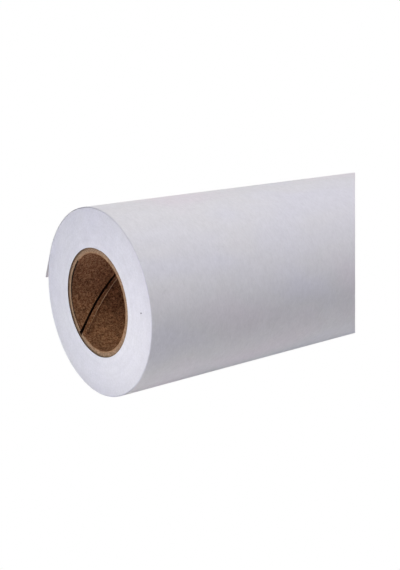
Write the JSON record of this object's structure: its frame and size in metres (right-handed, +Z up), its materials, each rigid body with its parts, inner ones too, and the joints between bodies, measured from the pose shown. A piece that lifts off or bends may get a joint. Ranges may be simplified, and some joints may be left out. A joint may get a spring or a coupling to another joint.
{
  "type": "backdrop paper roll",
  "caption": "Roll of white seamless backdrop paper wound on a spiral-wound cardboard core, with a free end that peels off the roll.",
  "frame": {"origin": "on the core's axis, at mid-length", "axes": "+X along the roll, from the end that faces the camera to the far one; +Y towards the side where the free end stands off; +Z up"},
  "size_m": [1.35, 0.107, 0.1036],
  "materials": {
    "seamless_paper": "matte, uncoated, with a faint fibrous mottle",
    "core_board": "matte greyboard with a fuzzy cut edge",
    "liner_kraft": "matte dark brown kraft, coarse fibre",
    "masking_tape": "matte crepe"
  },
  "bodies": {
    "roll": {"paper_wound_turns": "seamless_paper", "core_liner_ply": "liner_kraft", "core_body_ply_inner": "core_board", "core_body_ply_outer": "core_board", "core_outer_ply": "core_board", "start_tape_1": "masking_tape", "start_tape_2": "masking_tape", "start_tape_3": "masking_tape", "start_tape_4": "masking_tape", "start_tape_5": "masking_tape"},
    "end_strip_1": {"paper_end_strip_1": "seamless_paper"},
    "end_strip_2": {"paper_end_strip_2": "seamless_paper"},
    "end_strip_3": {"paper_end_strip_3": "seamless_paper"},
    "end_strip_4": {"paper_end_strip_4": "seamless_paper"},
    "end_strip_5": {"paper_end_strip_5": "seamless_paper"},
    "end_flap": {"paper_end_flap": "seamless_paper"}
  },
  "joints": [
    {"name": "peel_1", "type": "hinge", "parent": "roll", "child": "end_strip_1", "pos_m": [0, 0, 0.0519], "axis": [1, 0, 0], "range_deg": [0, 6.71], "stiffness_Nm_per_rad": 0.25},
    {"name": "peel_2", "type": "hinge", "parent": "end_strip_1", "child": "end_strip_2", "pos_m": [0, 0.01205, 0.0505], "axis": [1, 0, 0], "range_deg": [0, 13.42], "stiffness_Nm_per_rad": 0.25},
    {"name": "peel_3", "type": "hinge", "parent": "end_strip_2", "child": "end_strip_3", "pos_m": [0, 0.02345, 0.04634], "axis": [1, 0, 0], "range_deg": [0, 13.42], "stiffness_Nm_per_rad": 0.25},
    {"name": "peel_4", "type": "hinge", "parent": "end_strip_3", "child": "end_strip_4", "pos_m": [0, 0.03358, 0.03965], "axis": [1, 0, 0], "range_deg": [0, 13.42], "stiffness_Nm_per_rad": 0.25},
    {"name": "peel_5", "type": "hinge", "parent": "end_strip_4", "child": "end_strip_5", "pos_m": [0, 0.04188, 0.03078], "axis": [1, 0, 0], "range_deg": [0, 13.42], "stiffness_Nm_per_rad": 0.25},
    {"name": "peel_flap", "type": "hinge", "parent": "end_strip_5", "child": "end_flap", "pos_m": [0, 0.0479, 0.02023], "axis": [1, 0, 0], "range_deg": [0, 6.71], "stiffness_Nm_per_rad": 0.25}
  ],
  "couplings": [
    {"joint": "peel_2", "follows": "peel_1", "ratio": 2},
    {"joint": "peel_3", "follows": "peel_1", "ratio": 2},
    {"joint": "peel_4", "follows": "peel_1", "ratio": 2},
    {"joint": "peel_5", "follows": "peel_1", "ratio": 2},
    {"joint": "peel_flap", "follows": "peel_1", "ratio": 1}
  ]
}
